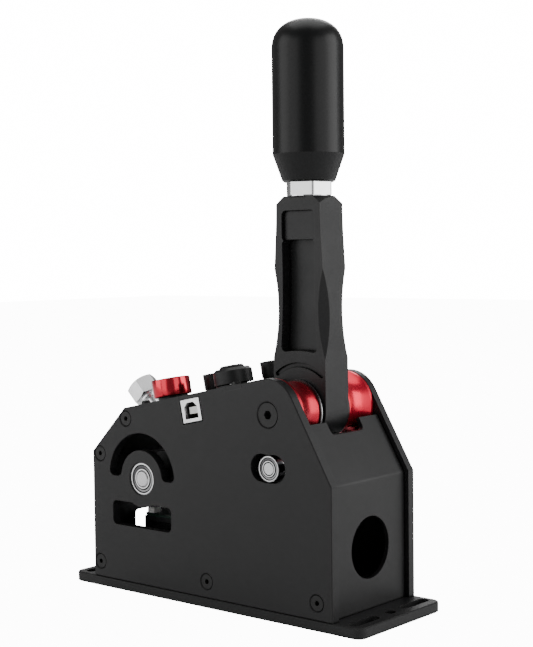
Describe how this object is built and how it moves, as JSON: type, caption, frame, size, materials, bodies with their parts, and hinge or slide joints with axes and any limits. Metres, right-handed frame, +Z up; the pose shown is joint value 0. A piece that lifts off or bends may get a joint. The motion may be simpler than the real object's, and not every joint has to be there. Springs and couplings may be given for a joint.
{
  "type": "sim racing gear shifter",
  "caption": "Desk-mounted sequential gear shifter for sim racing: plate housing on a slotted base, pivoting lever with a cylindrical grip, and adjusters on the sloping top.",
  "frame": {"origin": "centre of the base plate's underside", "axes": "+Z up, +X along the base towards the lever's end, the side with the data socket at -Y"},
  "size_m": [0.1834, 0.064, 0.2762],
  "materials": {
    "black_anodised": "satin black anodised",
    "red_anodised": "bright red anodised",
    "black_screws": "black oxide",
    "bright_steel": "ground steel",
    "spring_steel": "drawn wire",
    "polished_steel": "polished",
    "black_grip": "satin black",
    "black_knob": "fine matt",
    "shoe_plastic": "moulded",
    "socket_shell": "plated sheet",
    "socket_tongue": "moulded",
    "board": "solder mask",
    "board_posts": "turned",
    "chip": "moulded",
    "magnet": "nickel plated"
  },
  "bodies": {
    "housing": {"base_plate": "black_anodised", "socket_side_plate": "black_anodised", "plain_side_plate": "black_anodised", "lever_end_panel": "black_anodised", "rear_panel": "black_anodised", "top_plate": "black_anodised", "foot_bars": "black_anodised", "side_screws": "black_screws", "pivot_screws": "black_screws", "base_screws": "black_screws", "top_screws": "black_screws", "pivot_shaft": "bright_steel", "socket_side_hub": "red_anodised", "plain_side_hub": "red_anodised", "hub_washers": "bright_steel", "rocker_bearings": "bright_steel", "preload_bush": "black_anodised", "friction_shoe": "shoe_plastic", "selector_body": "shoe_plastic", "travel_bushes": "black_anodised", "usb_shell": "socket_shell", "usb_tongue": "socket_tongue", "circuit_board": "board", "board_posts": "board_posts", "sensor_bracket": "black_anodised", "sensor_board": "board", "sensor_chip": "chip", "sensor_plug": "socket_tongue", "preload_spring": "spring_steel"},
    "lever": {"lever_arm": "black_anodised", "pivot_bearings": "bright_steel", "tail_pin": "bright_steel", "tail_spacers": "bright_steel", "grip_stud": "bright_steel", "lock_nut": "polished_steel", "grip": "black_grip"},
    "socket_side_roller": {"socket_side_stop_roller": "bright_steel"},
    "plain_side_roller": {"plain_side_stop_roller": "bright_steel"},
    "rocker": {"rocker_arm": "black_anodised", "rocker_shaft": "bright_steel", "fork_pin": "bright_steel", "sensor_magnet": "magnet"},
    "link_roller": {"fork_roller": "bright_steel"},
    "preload_adjuster": {"preload_bolt": "polished_steel"},
    "detent_plunger": {"plunger": "bright_steel"},
    "friction_adjuster": {"friction_knob": "red_anodised", "friction_washer": "black_knob", "friction_screw": "bright_steel"},
    "selector": {"selector_knob": "black_knob", "selector_cap": "black_knob", "selector_stem": "bright_steel"},
    "front_travel_adjuster": {"front_travel_knob": "black_knob", "front_travel_screw": "bright_steel"},
    "rear_travel_adjuster": {"rear_travel_knob": "black_knob", "rear_travel_screw": "bright_steel", "stop_nut": "bright_steel"}
  },
  "joints": [
    {"name": "lever_pivot", "type": "hinge", "parent": "housing", "child": "lever", "pos_m": [0.0403, 0, 0.0945], "axis": [0, 1, 0], "range_deg": [-9, 9], "stiffness_Nm_per_rad": 20},
    {"name": "rocker_turn", "type": "hinge", "parent": "housing", "child": "rocker", "pos_m": [-0.0415, 0, 0.0575], "axis": [0, 1, 0], "range_deg": [-6.74, 6.74]},
    {"name": "link_roller_spin", "type": "hinge", "parent": "rocker", "child": "link_roller", "pos_m": [0.00568, 0, 0.07884], "axis": [0, 1, 0], "continuous": true},
    {"name": "socket_side_roller_spin", "type": "hinge", "parent": "lever", "child": "socket_side_roller", "pos_m": [0.0403, -0.0295, 0.06995], "axis": [0, 1, 0], "continuous": true},
    {"name": "plain_side_roller_spin", "type": "hinge", "parent": "lever", "child": "plain_side_roller", "pos_m": [0.0403, 0.0295, 0.06995], "axis": [0, 1, 0], "continuous": true},
    {"name": "preload_turn", "type": "hinge", "parent": "housing", "child": "preload_adjuster", "pos_m": [-0.06978, 0.0096, 0.08578], "axis": [-0.7071, 0, 0.7071], "continuous": true},
    {"name": "plunger_slide", "type": "slide", "parent": "housing", "child": "detent_plunger", "axis": [-0.7071, 0, 0.7071], "range_m": [0, 0.0008], "stiffness_N_per_m": 3000, "deforming": ["preload_spring"]},
    {"name": "friction_knob_turn", "type": "hinge", "parent": "housing", "child": "friction_adjuster", "pos_m": [-0.0398, -0.01, 0.09476], "axis": [-0.2028, 0, 0.9792], "continuous": true},
    {"name": "selector_turn", "type": "hinge", "parent": "housing", "child": "selector", "pos_m": [-0.00115, -0.007, 0.10277], "axis": [-0.2028, 0, 0.9792], "range_deg": [-150, 150]},
    {"name": "front_travel_turn", "type": "hinge", "parent": "housing", "child": "front_travel_adjuster", "pos_m": [0.0071, 0.012, 0.10447], "axis": [-0.2028, 0, 0.9792], "continuous": true},
    {"name": "rear_travel_turn", "type": "hinge", "parent": "housing", "child": "rear_travel_adjuster", "pos_m": [-0.0315, 0.012, 0.09648], "axis": [-0.2028, 0, 0.9792], "continuous": true}
  ],
  "couplings": [
    {"joint": "rocker_turn", "follows": "lever_pivot", "ratio": -0.748}
  ]
}
